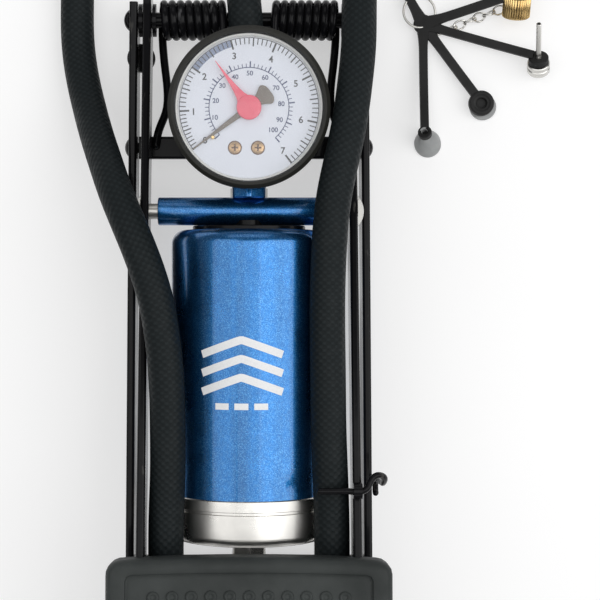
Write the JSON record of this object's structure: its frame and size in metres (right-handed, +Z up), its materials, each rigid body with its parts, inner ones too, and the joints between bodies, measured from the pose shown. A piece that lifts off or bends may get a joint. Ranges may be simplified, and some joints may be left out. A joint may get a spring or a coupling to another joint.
{
  "type": "foot air pump",
  "caption": "Folded single-cylinder foot air pump: a spring-hinged pedal lever over a base frame, a barrel with piston, a round pressure gauge, and a hose with a lever connector and adaptors.",
  "frame": {"origin": "on the floor under the middle of the pump's own box, without the hose, the connector and the adaptors", "axes": "+Y along the frame from the pedal to the hinge, +Z up, +X to the right seen from above with the hinge at the top"},
  "size_m": [0.2038, 0.419, 0.0761],
  "materials": {
    "frame_black": "gloss",
    "spring_steel": "gloss",
    "zinc_steel": "satin",
    "chrome": "polished",
    "blue_flake": "metallic gloss",
    "rubber": "matt",
    "pedal_rubber": "matt",
    "hose_rubber": "cloth-marked matt",
    "gauge_plastic": "satin",
    "lens_plastic": "clear",
    "dial_print": "printed card",
    "needle_brown": "satin",
    "marker_red": "tinted clear",
    "brass": "machined",
    "aluminium": "machined",
    "chuck_plastic": "gloss",
    "clear_plastic": "translucent"
  },
  "bodies": {
    "base": {"base_rail_left": "frame_black", "base_rail_right": "frame_black", "base_cross_bar": "frame_black", "base_end_plate": "frame_black", "base_rivets": "frame_black", "rubber_feet": "rubber", "hinge_axle": "frame_black", "hinge_axle_cap": "frame_black", "hinge_washers": "zinc_steel", "torsion_spring_left": "spring_steel", "torsion_spring_right": "spring_steel", "rod_pin": "zinc_steel", "rod_pin_clips": "zinc_steel", "hose_floor_loop": "hose_rubber", "hose_end_run": "hose_rubber", "connector_body": "chuck_plastic", "connector_seal": "rubber", "connector_pin": "chrome", "adaptor_strap": "rubber", "strap_chain": "chrome", "cone_nozzle": "clear_plastic", "round_nozzle": "chuck_plastic", "ball_needle": "chrome", "brass_adaptor": "brass"},
    "lever": {"lever_arm_left": "frame_black", "lever_arm_right": "frame_black", "lever_end_bar": "frame_black", "pedal_plate": "frame_black", "pedal_pad": "pedal_rubber", "pedal_rivets": "zinc_steel", "cylinder_pin": "zinc_steel", "pin_caps": "zinc_steel", "hook_saddle": "frame_black", "hose_main_run": "hose_rubber"},
    "hook": {"latch_hook": "frame_black"},
    "cylinder": {"barrel": "blue_flake", "cross_tube": "blue_flake", "end_cap": "chrome", "cap_gasket": "rubber", "rod_guide_bush": "zinc_steel", "outlet_nipple": "brass", "valve_ball": "zinc_steel", "valve_spring": "zinc_steel", "hose_ferrule": "zinc_steel", "gauge_stem": "blue_flake", "gauge_case": "gauge_plastic", "gauge_bezel": "gauge_plastic", "gauge_lens": "lens_plastic", "gauge_dial": "dial_print", "gauge_movement": "brass", "dial_screws": "brass", "hose_inlet": "hose_rubber"},
    "needle": {"pressure_needle": "needle_brown"},
    "marker": {"marker_pointer": "marker_red"},
    "rod": {"piston_rod": "chrome", "rod_bumper": "rubber", "piston": "aluminium", "piston_cup": "rubber", "piston_nut": "zinc_steel"},
    "chuck_lever": {"connector_lever": "chrome"}
  },
  "joints": [
    {"name": "lever_fold", "type": "hinge", "parent": "base", "child": "lever", "pos_m": [0, 0.12, 0.015], "axis": [-1, 0, 0], "range_deg": [0, 45], "deforming": ["hose_inlet", "hose_floor_loop", "hose_main_run", "hose_end_run", "torsion_spring_left", "torsion_spring_right"]},
    {"name": "cylinder_pivot", "type": "hinge", "parent": "lever", "child": "cylinder", "pos_m": [0, 0.0493, 0.0325], "axis": [1, 0, 0], "range_deg": [0, 60]},
    {"name": "rod_slide", "type": "slide", "parent": "cylinder", "child": "rod", "axis": [0, -0.9998, -0.0182], "range_m": [0, 0.04]},
    {"name": "hook_swing", "type": "hinge", "parent": "lever", "child": "hook", "pos_m": [0, -0.047, 0.0619], "axis": [1, 0, 0], "range_deg": [0, 100]},
    {"name": "needle_turn", "type": "hinge", "parent": "cylinder", "child": "needle", "pos_m": [0, 0.08437, 0.05114], "axis": [0, 0.0182, -0.9998], "range_deg": [0, 269]},
    {"name": "marker_turn", "type": "hinge", "parent": "cylinder", "child": "marker", "pos_m": [0, 0.08437, 0.05114], "axis": [0, 0.0182, -0.9998], "range_deg": [-90, 178]},
    {"name": "chuck_lever_flip", "type": "hinge", "parent": "base", "child": "chuck_lever", "pos_m": [0.042, 0.227, 0.0209], "axis": [-1, 0, 0], "range_deg": [0, 90]}
  ],
  "couplings": [
    {"joint": "cylinder_pivot", "follows": "lever_fold", "ratio": 1.3225},
    {"joint": "rod_slide", "follows": "lever_fold", "m_per_rad": 0.0505}
  ]
}
